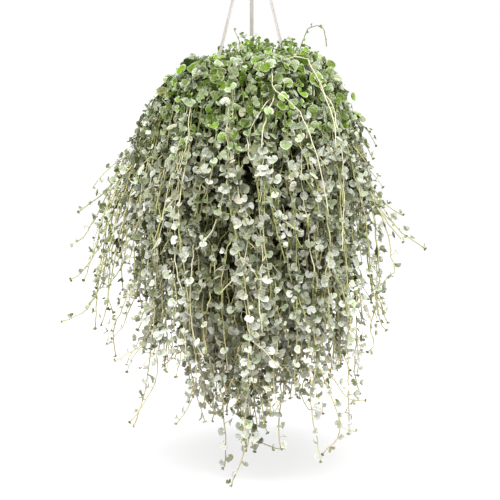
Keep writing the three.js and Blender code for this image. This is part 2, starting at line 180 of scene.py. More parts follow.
def splitByCamera(tree, unseen, seen, socket):
    # one value for what the camera sees directly, and another for the light that is cast
    rays = tree.nodes.new("ShaderNodeLightPath")
    choice = tree.nodes.new("ShaderNodeMapRange")
    setInputs(choice, {"To Min": unseen, "To Max": seen})
    tree.links.new(rays.outputs["Is Camera Ray"], choice.inputs["Value"])
    tree.links.new(choice.outputs[0], socket)


def makeSky():
    # the camera sees a white backdrop; the light that the sky gives is dimmer
    sky = bpy.data.worlds.new("studioSky")
    sky.use_nodes = True
    background = sky.node_tree.nodes["Background"]
    background.inputs["Color"].default_value = (1, 1, 1, 1)
    splitByCamera(sky.node_tree, studio["sky"], studio["backdrop"], background.inputs["Strength"])
    bpy.context.scene.world = sky
    bpy.context.scene.view_settings.view_transform = "Standard"


def aimed(place, target):
    return (Vector(target) - Vector(place)).to_track_quat("-Z", "Y").to_euler()


def makeLights():
    nothingSelected()
    sunFrom = studio["sunFrom"]
    bpy.ops.object.light_add(type="SUN", location=sunFrom, rotation=aimed(sunFrom, (0, 0, 0)))
    sun = bpy.context.object
    sun.name = "overheadDiffuser"
    sun.data.energy = studio["sunStrength"]
    sun.data.angle = math.radians(studio["sunSoftness"])
    for name, place, power in studio["lamps"]:
        nothingSelected()
        aim = aimed(place, studio["lampsAim"])
        bpy.ops.object.light_add(type="AREA", location=place, rotation=aim)
        light = bpy.context.object
        light.name = name
        light.data.size = studio["lampSize"]
        light.data.energy = power
        light.visible_camera = False


def makeFloor():
    nothingSelected()
    bpy.ops.mesh.primitive_circle_add(
        vertices=studio["floorSides"],
        radius=studio["floorRadius"],
        fill_type="NGON",
        location=(0, 0, studio["floorHeight"] * mm),
    )
    floor = bpy.context.object
    floor.name = "paleFloor"
    paper = bpy.data.materials.new("paleFloorPaper")
    paper.use_nodes = True
    shader = paper.node_tree.nodes["Principled BSDF"]
    setInputs(shader, {
        "Base Color": studio["floorColor"],
        "Roughness": studio["floorRoughness"],
        "Specular IOR Level": 0.0,
        "Emission Color": (1, 1, 1, 1),
    })
    # the glow only whitens the floor that the camera sees, so that no light comes from below
    splitByCamera(paper.node_tree, 0.0, studio["floorGlow"], shader.inputs["Emission Strength"])
    floor.data.materials.append(paper)
    floor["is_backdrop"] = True


makeCamera()
makeSky()
makeLights()
makeFloor()
print("camera, light and floor made")


# Node tree helpers and the shared effects


def addNode(tree, kind, name, **settings):
    node = tree.nodes.new(kind)
    node.name = name
    for setting, value in settings.items():
        setattr(node, setting, value)
    return node


def feed(tree, socket, value):
    # numbers and colours are set on the socket, and another node's output is linked to it
    if isinstance(value, (int, float, tuple)):
        socket.default_value = value
    else:
        tree.links.new(value, socket)


def mathNode(tree, name, operation, first, second=0.0):
    node = addNode(tree, "ShaderNodeMath", name, operation=operation)
    feed(tree, node.inputs[0], first)
    feed(tree, node.inputs[1], second)
    return node.outputs[0]


def timesNode(tree, name, *values):
    product = values[0]
    for number, value in enumerate(values[1:], 1):
        product = mathNode(tree, name + str(number), "MULTIPLY", product, value)
    return product


def distanceNode(tree, name, first, second):
    squares = [timesNode(tree, name + "Square", part, part) for part in (first, second)]
    return mathNode(tree, name, "SQRT", mathNode(tree, name + "Sum", "ADD", *squares))


def mixNode(tree, name, factor, first, second, blend="MIX"):
    node = addNode(tree, "ShaderNodeMix", name, data_type="RGBA", blend_type=blend)
    for number, value in ((0, factor), (6, first), (7, second)):
        feed(tree, node.inputs[number], value)
    return node.outputs[2]


def rampNode(tree, name, value, low, high, toLow=0.0, toHigh=1.0):
    node = addNode(tree, "ShaderNodeMapRange", name, interpolation_type="SMOOTHSTEP")
    tree.links.new(value, node.inputs["Value"])
    setInputs(node, {"From Min": low, "From Max": high, "To Min": toLow, "To Max": toHigh})
    return node.outputs[0]


def noiseNode(tree, name, vector, scale, detail=2.0):
    node = addNode(tree, "ShaderNodeTexNoise", name)
    tree.links.new(vector, node.inputs["Vector"])
    feed(tree, node.inputs["Scale"], scale)
    node.inputs["Detail"].default_value = detail
    return node.outputs["Fac"]


def newGroup(name, inputs):
    # every group gives a surface's colour, roughness and relief
    group = bpy.data.node_groups.new(name, "ShaderNodeTree")
    outputs = {"Color": ("Color",), "Float": ("Roughness", "Height")}
    for way, sockets in (("INPUT", inputs), ("OUTPUT", outputs)):
        for kind, labels in sockets.items():
            for label in labels:
                group.interface.new_socket(name=label, in_out=way, socket_type="NodeSocket" + kind)
    given = addNode(group, "NodeGroupInput", "Group Input")
    return group, given.outputs


def closeGroup(group, color, roughness, height):
    out = addNode(group, "NodeGroupOutput", "Group Output")
    for label, value in (("Color", color), ("Roughness", roughness), ("Height", height)):
        group.links.new(value, out.inputs[label])
    return group


leafPattern = {
    # scales of the noises; then places and widths as shares of the blade, and colours
    "blotches": 70, "down": 900, "crumple": 260, "stalkPlace": (0.36, 0.5), "veinTurn": 0.62,
    "veinWidth": 0.035, "veinFade": (0.05, 0.6), "veinColor": (0.62, 0.68, 0.45, 1),
    "rimCentre": 0.44, "rimStretch": 1.28, "rimRadius": 0.48, "heartRadius": 0.42,
    "warmShare": 0.55, "warmColor": (0.56, 0.40, 0.33, 1), "warmUnder": (0.60, 0.47, 0.40, 1),
    # the darkest and lightest colours bound the painted shade and painted light on a leaf, and the green
    # after them tints its painted shade
    "greenUnder": 0.4, "darkest": (0.06, 0.065, 0.03, 1), "lightest": (1.42, 1.42, 1.42, 1),
    "dullGreen": (0.84, 1.0, 0.28, 1), "roughness": (0.48, 0.66), "veinRelief": -0.6,
    "foldRelief": 55.0,
}


def makeLeafGroup():
    # a downy leaf, from its tone, its side and the place on the blade
    look = leafPattern
    group, given = newGroup("downyLeaf", {
        "Color": ("Tone", "Silver", "Fresh", "Underside", "Margin", "Dull Tint"),
        "Float": ("Upper Side", "Vein Strength", "Margin Strength", "Margin Width"),
        "Vector": ("Blade Place", "Position"),
    })
    makers = (mathNode, timesNode, distanceNode, mixNode, rampNode, noiseNode)
    calc, times, distance, mix, ramp, noise = (partial(maker, group) for maker in makers)
    tone = addNode(group, "ShaderNodeSeparateColor", "toneParts")
    group.links.new(given["Tone"], tone.inputs[0])
    green, light, warm = tone.outputs
    blotches = noise("blotches", given["Position"], look["blotches"], 3)
    down = noise("down", given["Position"], look["down"])
    crumple = noise("crumple", given["Position"], look["crumple"])

    # veins run out like rays from where the stalk joins, and fade towards the rim
    blade = addNode(group, "ShaderNodeSeparateXYZ", "bladeParts")
    group.links.new(given["Blade Place"], blade.inputs[0])
    along = calc("fromStalk", "SUBTRACT", blade.outputs[0], look["stalkPlace"][0])
    across = calc("fromMiddle", "SUBTRACT", blade.outputs[1], look["stalkPlace"][1])
    turns = calc("veinTurns", "DIVIDE", calc("veinAngle", "ARCTAN2", across, along), look["veinTurn"])
    reach = distance("reach", along, across)
    offVein = times("offVein", calc("veinPart", "PINGPONG", turns, 0.5), reach)
    vein = ramp("vein", offVein, 0.0, look["veinWidth"], 1.0, 0.0)
    veinFade = ramp("veinFade", reach, *look["veinFade"], 1.0, 0.0)
    vein = times("veinAmount", vein, veinFade, given["Vein Strength"])

    # the pale margin follows the rim in patches
    centred = calc("fromCentre", "SUBTRACT", blade.outputs[0], look["rimCentre"])
    rimReach = distance("rimReach", times("rounded", centred, look["rimStretch"]), across)
    inset = calc("inset", "SUBTRACT", look["rimRadius"], rimReach)
    margin = calc("marginShare", "DIVIDE", inset, given["Margin Width"])
    margin = ramp("margin", margin, 0.0, 1.0, 1.0, 0.0)
    patchy = ramp("patchy", crumple, 0.36, 0.58, 0.35, 1.0)
    margin = times("marginAmount", margin, patchy, given["Margin Strength"])

    greenNoise = ramp("greenNoise", blotches, 0.3, 0.7, -0.22, 0.22)
    heart = ramp("heart", reach, 0.0, look["heartRadius"], 0.16, -0.05)
    greenness = calc("greenness", "ADD", green, greenNoise)
    greenness = calc("heartGreen", "ADD", greenness, heart)
    greenness.node.use_clamp = True
    color = mix("silverToFresh", greenness, given["Silver"], given["Fresh"])
    color = mix("veined", vein, color, look["veinColor"])
    color = mix("margined", margin, color, given["Margin"])
    warmed = times("warmAmount", warm, look["warmShare"])
    color = mix("warmed", warmed, color, look["warmColor"])
    underGreen = times("underGreen", greenness, look["greenUnder"])
    underColor = mix("underFresh", underGreen, given["Underside"], given["Fresh"])
    underColor = mix("underWarm", warmed, underColor, look["warmUnder"])
    color = mix("sided", given["Upper Side"], underColor, color)

    # the leaf's lightness, partly its own tone that differs at random and partly painted shade and
    # painted light, and a green tint painted into the shaded ones
    level = calc("wholeLevel", "ADD", light, ramp("fineLevel", down, 0.35, 0.65, -0.04, 0.04))
    level.node.use_clamp = True
    shade = mix("shadeColor", level, look["darkest"], look["lightest"])
    color = mix("levelled", 1.0, color, shade, "MULTIPLY")
    dull = ramp("dull", level, 0.05, 0.8, 1.0, 0.05)
    tint = mix("dullTint", greenness, given["Dull Tint"], look["dullGreen"])
    color = mix("tinted", dull, color, tint, "MULTIPLY")
    rough = ramp("rough", down, 0.3, 0.7, *look["roughness"])
    relief = calc("downRelief", "ADD", times("veinRelief", vein, look["veinRelief"]), down)
    relief = calc("relief", "ADD", relief, times("foldRelief", crumple, look["foldRelief"]))
    return closeGroup(group, color, rough, relief)


def makeGrainGroup():
    # fine grain and slow mottling of moulded plastic, stems and peat
    group, given = newGroup("fineGrain", {
        "Vector": ("Position",),
        "Color": ("Light Color", "Dark Color"),
        "Float": ("Mottle Scale", "Grain Scale", "Smooth", "Rough"),
    })
    mottle = noiseNode(group, "mottle", given["Position"], given["Mottle Scale"], 4)
    grain = noiseNode(group, "grain", given["Position"], given["Grain Scale"], 3)
    amount = rampNode(group, "amount", mottle, 0.32, 0.68)
    color = mixNode(group, "mottled", amount, given["Dark Color"], given["Light Color"])
    spread = addNode(group, "ShaderNodeMapRange", "roughSpread")
    for label, value in (("Value", grain), ("To Min", given["Smooth"]), ("To Max", given["Rough"])):
        group.links.new(value, spread.inputs[label])
    return closeGroup(group, color, spread.outputs[0], grain)


leafGroup = makeLeafGroup()
grainGroup = makeGrainGroup()


def newMaterial(name, group, values, relief, constants):
    # relief is the bump's distance in metres and its strength; the constants go on the shader
    material = bpy.data.materials.new(name)
    material.use_nodes = True
    tree = material.node_tree
    shader = tree.nodes["Principled BSDF"]
    effect = addNode(tree, "ShaderNodeGroup", group.name, node_tree=group)
    place = addNode(tree, "ShaderNodeTexCoord", "place")
    bump = addNode(tree, "ShaderNodeBump", "relief")
    distance, strength = relief
    setInputs(effect, values)
    setInputs(bump, {"Distance": distance, "Strength": strength})
    setInputs(shader, constants)
    tree.links.new(place.outputs["Object"], effect.inputs["Position"])
    tree.links.new(effect.outputs["Height"], bump.inputs["Height"])
    tree.links.new(effect.outputs["Color"], shader.inputs["Base Color"])
    tree.links.new(effect.outputs["Roughness"], shader.inputs["Roughness"])
    tree.links.new(bump.outputs["Normal"], shader.inputs["Normal"])
    return material, effect


def leafMaterial(name, values):
    material, effect = newMaterial(name, leafGroup, values, leafRelief, leafShine)
    tree = material.node_tree
    tone = addNode(tree, "ShaderNodeAttribute", "tone", attribute_name="leafTone")
    blade = addNode(tree, "ShaderNodeUVMap", "blade", uv_map="bladeMap")
    tree.links.new(tone.outputs["Color"], effect.inputs["Tone"])
    tree.links.new(tone.outputs["Alpha"], effect.inputs["Upper Side"])
    tree.links.new(blade.outputs["UV"], effect.inputs["Blade Place"])
    return material


def stemMaterial(name, high):
    # straw, paler low down, and higher up, where the stems come out of the leaves, another colour: green
    # with painted shade on the outer stems, painted shade on the inner ones
    material, effect = newMaterial(name, grainGroup, stemFinish, stemRelief, stemShine)
    tree = material.node_tree
    height = addNode(tree, "ShaderNodeSeparateXYZ", "height")
    tree.links.new(tree.nodes["place"].outputs["Object"], height.inputs[0])
    color = effect.outputs["Color"]
    for label, end in (("low", stemLow), ("high", high)):
        share = rampNode(tree, label + "Share", height.outputs["Z"], *end["fade"])
        color = mixNode(tree, label + "Color", share, color, end["color"])
    tree.links.new(color, tree.nodes["Principled BSDF"].inputs["Base Color"])
    return material


# the last entry of each leaf finish is the tint painted into a leaf's shade
leafFinish = {
    "Silver": (0.60, 0.625, 0.59, 1), "Fresh": (0.17, 0.31, 0.0, 1),
    "Underside": (0.71, 0.72, 0.68, 1), "Margin": (0.80, 0.80, 0.74, 1), "Vein Strength": 0.35,
    "Margin Strength": 0.7, "Margin Width": 0.11, "Dull Tint": (0.98, 1.0, 0.71, 1),
}
crownLeafFinish = {
    "Silver": (0.38, 0.50, 0.15, 1), "Fresh": (0.15, 0.32, 0.0, 1),
    "Underside": (0.86, 0.90, 0.76, 1), "Margin": (0.82, 0.90, 0.70, 1), "Vein Strength": 0.4,
    "Margin Strength": 0.65, "Margin Width": 0.07, "Dull Tint": (0.90, 1.0, 0.40, 1),
}
leafRelief = (0.0002, 0.5)
leafShine = {"Sheen Weight": 0.02, "Sheen Roughness": 0.5, "Specular IOR Level": 0.12}
stemFinish = {
    "Light Color": (0.70, 0.65, 0.36, 1), "Dark Color": (0.44, 0.48, 0.16, 1), "Mottle Scale": 16.0,
    "Grain Scale": 600.0, "Smooth": 0.45, "Rough": 0.7,
}
# the heights in metres over which the stems' colour changes: outer stems are green over the rim and
# darkened there with painted shade, inner ones are painted dark as shade where they lie behind the outer
# ones, and all are straw low down
outerStemGreenAndShade = {"fade": (-0.40, -0.29), "color": (0.21, 0.27, 0.07, 1)}
innerStemPaintedShade = {"fade": (-0.56, -0.40), "color": (0.12, 0.11, 0.015, 1)}
stemLow = {"fade": (-0.52, -0.72), "color": (0.62, 0.545, 0.29, 1)}
paleStemFinish = dict(stemFinish)
paleStemFinish["Light Color"] = (0.88, 0.83, 0.62, 1)
paleStemFinish["Dark Color"] = (0.70, 0.66, 0.42, 1)
stemRelief = (0.0003, 0.4)
stemShine = {"Specular IOR Level": 0.2}
hangerFinish = {
    "Light Color": (0.62, 0.58, 0.545, 1), "Dark Color": (0.54, 0.505, 0.475, 1),
    "Mottle Scale": 30.0, "Grain Scale": 900.0, "Smooth": 0.35, "Rough": 0.55,
}
potFinish = {
    "Light Color": (0.050, 0.050, 0.046, 1), "Dark Color": (0.020, 0.021, 0.021, 1),
    "Mottle Scale": 22.0, "Grain Scale": 1400.0, "Smooth": 0.38, "Rough": 0.62,
}
peatFinish = {
    "Light Color": (0.11, 0.060, 0.030, 1), "Dark Color": (0.022, 0.012, 0.007, 1),
    "Mottle Scale": 180.0, "Grain Scale": 520.0, "Smooth": 0.8, "Rough": 0.98,
}
hangerRelief = (0.0001, 0.3)
potRelief = (0.0001, 0.4)
peatRelief = (0.004, 1.0)
peatShine = {"Specular IOR Level": 0.25}

trailingLeaf = leafMaterial("silverDownyLeaf", leafFinish)
crownLeaf = leafMaterial("crownGreenLeaf", crownLeafFinish)
strawStem = stemMaterial("strawStem", outerStemGreenAndShade)
innerShadedStem = stemMaterial("innerShadedStem", innerStemPaintedShade)
paleStem = newMaterial("paleStem", grainGroup, paleStemFinish, stemRelief, stemShine)[0]
hangerPlastic = newMaterial("hangerPlastic", grainGroup, hangerFinish, hangerRelief, {})[0]
potPlastic = newMaterial("potPlastic", grainGroup, potFinish, potRelief, {})[0]
moistPeat = newMaterial("moistPeat", grainGroup, peatFinish, peatRelief, peatShine)[0]
print("materials made")


# One leaf, modelled once in six forms, each with an inner ring of faces and without

leafBlade = {
    "sides": 12, "thickness": 0.05, "rim": 0.42, "middle": 0.12, "innerLift": 0.42,
    "innerFold": 0.5, "length": 0.80, "notchReach": 0.40, "innerNotchReach": 0.29, "lobeBack": 0.04,
    "lobeIn": 0.10, "shoulderBack": 0.05, "widen": 1.04, "stalkPlace": 0.08,
}
leafForms = {
    # cup lifts the rim, fold lifts the two sides, wave ruffles the rim, scallop swells its outline
    "open": {"cup": 0.08, "fold": 0.06, "wave": 0.03, "scallop": 0.015, "waveTurn": 0.0},
    "saddle": {"cup": 0.02, "fold": 0.26, "wave": 0.04, "scallop": 0.02, "waveTurn": 1.2},
    "domed": {"cup": -0.15, "fold": -0.05, "wave": 0.03, "scallop": 0.015, "waveTurn": 0.6},
    "shell": {"cup": 0.26, "fold": 0.10, "wave": 0.03, "scallop": 0.015, "waveTurn": 2.0},
    "folded": {"cup": 0.12, "fold": 0.46, "wave": 0.04, "scallop": 0.02, "waveTurn": 2.8},
    "ruffled": {"cup": 0.05, "fold": 0.06, "wave": 0.09, "scallop": 0.035, "waveTurn": 1.6},
}


def addLens(fine):
    # a round lens; the fine one has a ring of faces between its middle and its rim
    nothingSelected()
    if fine:
        bpy.ops.mesh.primitive_uv_sphere_add(segments=leafBlade["sides"], ring_count=4, radius=0.5)
        lens = bpy.context.object
        editWhole()
        bpy.ops.transform.resize(value=(1, 1, leafBlade["thickness"]))
        editDone()
    else:
        bpy.ops.mesh.primitive_circle_add(vertices=leafBlade["sides"], radius=0.5, fill_type="TRIFAN")
        lens = bpy.context.object
        movePoints(lens, lambda p: p.length < 0.1, (0, 0, leafBlade["thickness"] / 2))
        editWhole()
        bpy.ops.mesh.duplicate()
        bpy.ops.transform.resize(value=(1, 1, -1), center_override=(0, 0, 0))
        bpy.ops.mesh.select_all(action="SELECT")
        bpy.ops.mesh.remove_doubles(threshold=0.001)
        faceOutwards()
    return lens


def modelLeaf(name, form, fine):
    blade = leafBlade
    leaf = addLens(fine)
    leaf.name = "leafMaster_" + name
    inRim = lambda p: math.hypot(p.x, p.y) > blade["rim"]
    between = lambda p: blade["middle"] < math.hypot(p.x, p.y) <= blade["rim"]
    # the bare numbers in the tests are places on the lens, whose radius is 0.5
    # three soft waves run round the rim, and its outline swells and shrinks with them
    for step in range(blade["sides"]):
        turn = 2 * math.pi * step / blade["sides"]
        spot = Vector((math.cos(turn), math.sin(turn)))
        height = math.cos(3 * turn + form["waveTurn"])
        swell = form["scallop"] * height
        atStep = lambda p: inRim(p) and Vector((p.x, p.y)).normalized().dot(spot) > 0.97
        movePoints(leaf, atStep, (swell * spot.x, swell * spot.y, form["wave"] * height))
    # the cup and the fold
    movePoints(leaf, inRim, (0, 0, form["cup"]))
    movePoints(leaf, between, (0, 0, form["cup"] * blade["innerLift"]))
    movePoints(leaf, lambda p: abs(p.y) > 0.36, (0, 0, form["fold"]))
    movePoints(leaf, lambda p: 0.2 < abs(p.y) <= 0.36, (0, 0, form["fold"] * blade["innerFold"]))
    # the notch where the stalk joins, and the two round lobes beside it
    inRow = lambda p, low, high: low < p.x < high and abs(p.y) < 0.01
    movePoints(leaf, lambda p: inRow(p, -1, -0.45), (blade["notchReach"], 0, 0))
    movePoints(leaf, lambda p: inRow(p, -0.40, -0.30), (blade["innerNotchReach"], 0, 0))
    for side in (-1, 1):
        inLobe = lambda p: p.x < -0.38 and 0.15 < p.y * side < 0.33
        inShoulder = lambda p: -0.35 < p.x < -0.18 and p.y * side > 0.38
        movePoints(leaf, inLobe, (-blade["lobeBack"], -side * blade["lobeIn"], 0))
        movePoints(leaf, inShoulder, (-blade["shoulderBack"], 0, 0))
    editWhole()
    bpy.ops.transform.resize(value=(blade["length"], blade["widen"], 1))
    bpy.ops.transform.translate(value=(blade["stalkPlace"], 0, 0))
    editDone()
    return leaf


def readMaster(model):
    # the points, the corners and the side of each corner, ready to be copied
    mesh = model.data
    points = np.array([point.co[:] for point in mesh.vertices])
    corners = np.array([loop.vertex_index for loop in mesh.loops])
    starts = np.array([face.loop_start for face in mesh.polygons])
    sides = np.zeros(len(corners))
    for face in mesh.polygons:
        sides[face.loop_start : face.loop_start + face.loop_total] = face.normal.z > 0
    place = points[corners][:, :2] + leafPattern["stalkPlace"]
    bpy.data.objects.remove(model)
    return {"points": points, "corners": corners, "starts": starts, "sides": sides, "place": place}


stemLook = {
    "radii": (1.25, 0.9), "paleRadii": (0.95, 0.8), "section": 11, "kink": 0.75,
    "stalkRadius": 0.55, "stalkModel": 1.1, "stalkTaper": 0.7, "stalkBend": 0.9,
}


def modelStalk():
    # a three-sided stalk along X, one unit long and bent a little upwards at half its length
    nothingSelected()
    bpy.ops.mesh.primitive_cylinder_add(
        vertices=3,
        radius=stemLook["stalkModel"],
        depth=0.5,
        location=(0.25, 0, 0),
        rotation=(0, math.pi / 2, 0),
    )
    stalk = bpy.context.object
    stalk.name = "stalkMaster"
    bpy.ops.object.transform_apply(location=True, rotation=True, scale=True)
    pickPoints(stalk, lambda p: p.x > 0.4)
    bpy.ops.mesh.extrude_region_move(TRANSFORM_OT_translate={"value": (0.5, 0, 0)})
    bpy.ops.transform.resize(value=(1, stemLook["stalkTaper"], stemLook["stalkTaper"]))
    editDone()
    movePoints(stalk, lambda p: 0.4 < p.x < 0.6, (0, 0, stemLook["stalkBend"]))
    onlySelected(stalk)
    faceOutwards()
    return stalk


masters = {}
for formName, form in leafForms.items():
    for fine in (True, False):
        masters[formName, fine] = readMaster(modelLeaf(formName, form, fine))
masters["stalk"] = readMaster(modelStalk())
print("leaf and stalk modelled:", len(masters), "forms")


# Growing a piece: stems as bevelled curves, leaves and stalks as copies of the modelled ones


def copyForms(name, copies, material):
    # copies: form, origin, along, face, scale (mm) and tone (green, light, warm) of each
    points, corners, starts, tones, places = [], [], [], [], []
    pointCount = cornerCount = 0
    keys = ("origin", "along", "face", "scale", "tone")
    for formName, master in masters.items():
        chosen = [copy for copy in copies if copy["form"] == formName]
        if not chosen:
            continue
        origin, along, face, scale, tone = (np.array([copy[key] for copy in chosen]) for key in keys)
        turned = np.stack([along, np.cross(face, along), face], axis=1) * scale[:, :, None]
        grown = np.einsum("vk,nkj->nvj", master["points"], turned) + origin[:, None, :]
        points.append(grown.reshape(-1, 3))
        number = np.arange(len(chosen))[:, None]
        corners.append((master["corners"] + pointCount + number * len(master["points"])).ravel())
        starts.append((master["starts"] + cornerCount + number * len(master["corners"])).ravel())
        side = np.tile(master["sides"], len(chosen))[:, None]
        tones.append(np.hstack([np.repeat(tone, len(master["corners"]), axis=0), side]))
        places.append(np.tile(master["place"], (len(chosen), 1)))
        pointCount += len(chosen) * len(master["points"])
        cornerCount += len(chosen) * len(master["corners"])
    starts = np.concatenate(starts).astype(np.int32)
    mesh = bpy.data.meshes.new(name)
    mesh.vertices.add(pointCount)
    mesh.vertices.foreach_set("co", (np.vstack(points) * mm).ravel())
    mesh.loops.add(cornerCount)
    mesh.loops.foreach_set("vertex_index", np.concatenate(corners).astype(np.int32))
    mesh.polygons.add(len(starts))
    mesh.polygons.foreach_set("loop_start", starts)
    mesh.update(calc_edges=True)
    toneLayer = mesh.attributes.new("leafTone", "FLOAT_COLOR", "CORNER")
    toneLayer.data.foreach_set("color", np.vstack(tones).ravel())
    placeLayer = mesh.uv_layers.new(name="bladeMap")
    placeLayer.data.foreach_set("uv", np.vstack(places).ravel())
    mesh.materials.append(material)
    piece = bpy.data.objects.new(name, mesh)
    bpy.context.collection.objects.link(piece)
    return piece


def paint(piece, material):
    piece.data.materials.clear()
    piece.data.materials.append(material)


def drawStems(name, stems, material):
    # each stem: its route in mm and its radius in mm at every point
    drawn = bpy.data.curves.new(name, "CURVE")
    drawn.dimensions = "3D"
    drawn.bevel_depth = mm
    drawn.bevel_resolution = 0
    drawn.use_fill_caps = True
    for route, radii in stems:
        line = drawn.splines.new("POLY")
        line.points.add(len(route) - 1)
        line.points.foreach_set("co", np.hstack([route * mm, np.ones((len(route), 1))]).ravel())
        line.points.foreach_set("radius", radii)
    piece = bpy.data.objects.new(name, drawn)
    bpy.context.collection.objects.link(piece)
    onlySelected(piece)
    bpy.ops.object.convert(target="MESH")
    piece = bpy.context.object
    editWhole()
    bpy.ops.mesh.remove_doubles(threshold=0.000002)
    faceOutwards()
    paint(piece, material)
    return piece


def newBunch():
    return {"stems": [], "paleStems": [], "stalks": [], "leaves": []}


def growPiece(name, bunch, leafKind, stemKind, node):
    parts = [
        drawStems(name, bunch["stems"], stemKind),
        copyForms(name + "_leaves", bunch["leaves"], leafKind),
        copyForms(name + "_stalks", bunch["stalks"], stemKind),
    ]
    if bunch["paleStems"]:
        parts.append(drawStems(name + "_pale", bunch["paleStems"], paleStem))
    onlySelected(*parts)
    bpy.ops.object.join()
    piece = bpy.context.object
    piece.name = name
    bpy.ops.object.shade_smooth_by_angle(angle=math.radians(100))
    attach(piece, "root")
    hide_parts(node)
    return piece


# Routes

pot = {
    "rim": -350, "floor": -485, "flange": 92, "collar": 16, "mouth": 81, "foot": 60, "clear": 5,
    "inside": 74,  # the stems within this radius stand in the soil
    # how far in front or behind stems may stray, and the share of what is beyond it that is taken off
    "stray": 176, "pullBack": 0.75,
}
rings = {
    # the apex and the shoulder are a radius and a height; the reach is a share of the tress's length
    # a ring's level sets its painted shade: the lower it is, the darker its leaves are painted, as the
    # inner rings lie in shade
    "outer": {
        "root": 40, "apex": (94, -256), "shoulder": (122, -282), "strands": 15, "reach": (0.55, 0.95),
        "firstLeaf": (52, 70), "level": 0.52, "bareness": 1.0,
    },
    "middle": {
        "root": 54, "apex": (92, -292), "shoulder": (116, -326), "strands": 15, "reach": (0.64, 1.0),
        "firstLeaf": (95, 125), "level": 0.22, "bareness": 1.22,
    },
    "inner": {
        "root": 68, "apex": (93, -318), "shoulder": (108, -352), "strands": 20, "reach": (0.72, 1.0),
        "firstLeaf": (170, 210), "level": 0.10, "bareness": 1.3,
    },
}
arch = {
    "lean": 4,  # how much higher the arches stand on the right than in the middle
    "rootDepth": 28, "soilDepth": 2, "climb": (-4, -18), "turns": (0.15, 0.6), "lowRadius": 0.45,
    "lowHeight": 0.5,
}
# the trailing stems end on a hem: how low it is from the left side to the right
hem = {
    "across": (-200, -76, -12, 22, 48, 140, 200),
    "low": (-610, -764, -822, -808, -738, -694, -640),
    "spread": 18,
}
tresses = {
    # azimuth, where it hangs (radius, height), where it ends (azimuth, radius, height)
    "outer": [
        (108, (166, -430), (112, 190, -650)),
        (138, (174, -430), (148, 214, -610)),
        (168, (214, -430), (180, 276, -636)),
        (198, (182, -430), (194, 214, -694)),
        (228, (160, -430), (232, 176, -700)),
        (258, (156, -430), (262, 158, -730)),
        (288, (158, -430), (292, 160, -742)),
        (318, (168, -430), (326, 192, -802)),
        (348, (168, -430), (355, 206, -654)),
        (18, (180, -410), (14, 268, -526)),
        (48, (164, -430), (52, 190, -640)),
        (78, (162, -430), (84, 176, -700)),
    ],
    "middle": [
        (120, (130, -440), (118, 122, -742)),
        (160, (136, -440), (158, 134, -700)),
        (200, (138, -440), (206, 196, -790)),
        (240, (126, -440), (236, 122, -782)),
        (280, (124, -440), (284, 118, -796)),
        (320, (130, -440), (312, 152, -836)),
        (0, (134, -440), (356, 168, -754)),
        (40, (130, -440), (42, 130, -716)),
        (80, (128, -440), (78, 118, -760)),
    ],
    "inner": [
        (130, (102, -480), (136, 62, -780)),
        (190, (102, -480), (188, 70, -790)),
        (250, (100, -480), (204, 31, -884)),
        (310, (102, -480), (318, 62, -828)),
        (10, (102, -480), (6, 66, -770)),
        (70, (100, -480), (64, 48, -810)),
    ],
}
routeSteps = 24


def around(radius, azimuth, height):
    turn = math.radians(azimuth)
    return np.array([radius * math.cos(turn), radius * math.sin(turn), height])


def smoothRoute(points, steps):
    # a centripetal curve through the points, as the CAD source draws it
    points = np.asarray(points, float)
    points = np.vstack([2 * points[0] - points[1], points, 2 * points[-1] - points[-2]])
    part = np.linspace(0, 1, steps, endpoint=False)[:, None]
    route = []
    for before, start, end, after in zip(points, points[1:], points[2:], points[3:]):
        first = max(np.linalg.norm(start - before) ** 0.5, 1e-3)
        middle = max(np.linalg.norm(end - start) ** 0.5, 1e-3)
        last = max(np.linalg.norm(after - end) ** 0.5, 1e-3)
        leaving = (start - before) / first - (end - before) / (first + middle) + (end - start) / middle
        coming = (end - start) / middle - (after - start) / (middle + last) + (after - end) / last
        leaving = leaving * middle
        coming = coming * middle
        route.append(
            (2 * part**3 - 3 * part**2 + 1) * start
            + (part**3 - 2 * part**2 + part) * leaving
            + (3 * part**2 - 2 * part**3) * end
            + (part**3 - part**2) * coming
        )
    route.append(points[-2:-1])
    return np.vstack(route)


def distancesAlong(route):
    return np.concatenate([[0], np.cumsum(np.linalg.norm(np.diff(route, axis=0), axis=1))])


def placesAt(route, distances, wanted):
    return np.stack([np.interp(wanted, distances, route[:, axis]) for axis in range(3)], axis=-1)


def tressRoute(ring, tress):
    azimuth, (hangRadius, hangHeight), (tipAzimuth, tipRadius, tipHeight) = tress
    lean = arch["lean"] * math.cos(math.radians(azimuth))
    apexRadius, apexHeight = ring["apex"][0], ring["apex"][1] + lean
    turn = (tipAzimuth - azimuth + 540) % 360 - 180
    climbIn, climbBelow = arch["climb"]
    hangTurn, lowTurn = arch["turns"]
    lowRadius = hangRadius + arch["lowRadius"] * (tipRadius - hangRadius)
    places = [
        (ring["root"], 0, pot["rim"] - arch["rootDepth"]),
        (ring["root"], 0, pot["rim"] - arch["soilDepth"]),
        ((ring["root"] + apexRadius) / 2 + climbIn, 0, apexHeight + climbBelow),
        (apexRadius, 0, apexHeight),
        (ring["shoulder"][0], 0, ring["shoulder"][1] + lean),
        (hangRadius, hangTurn, hangHeight),
        (lowRadius, lowTurn, arch["lowHeight"] * (hangHeight + tipHeight)),
        (tipRadius, 1, tipHeight),
    ]
    return smoothRoute([around(r, azimuth + turn * share, z) for r, share, z in places], routeSteps)


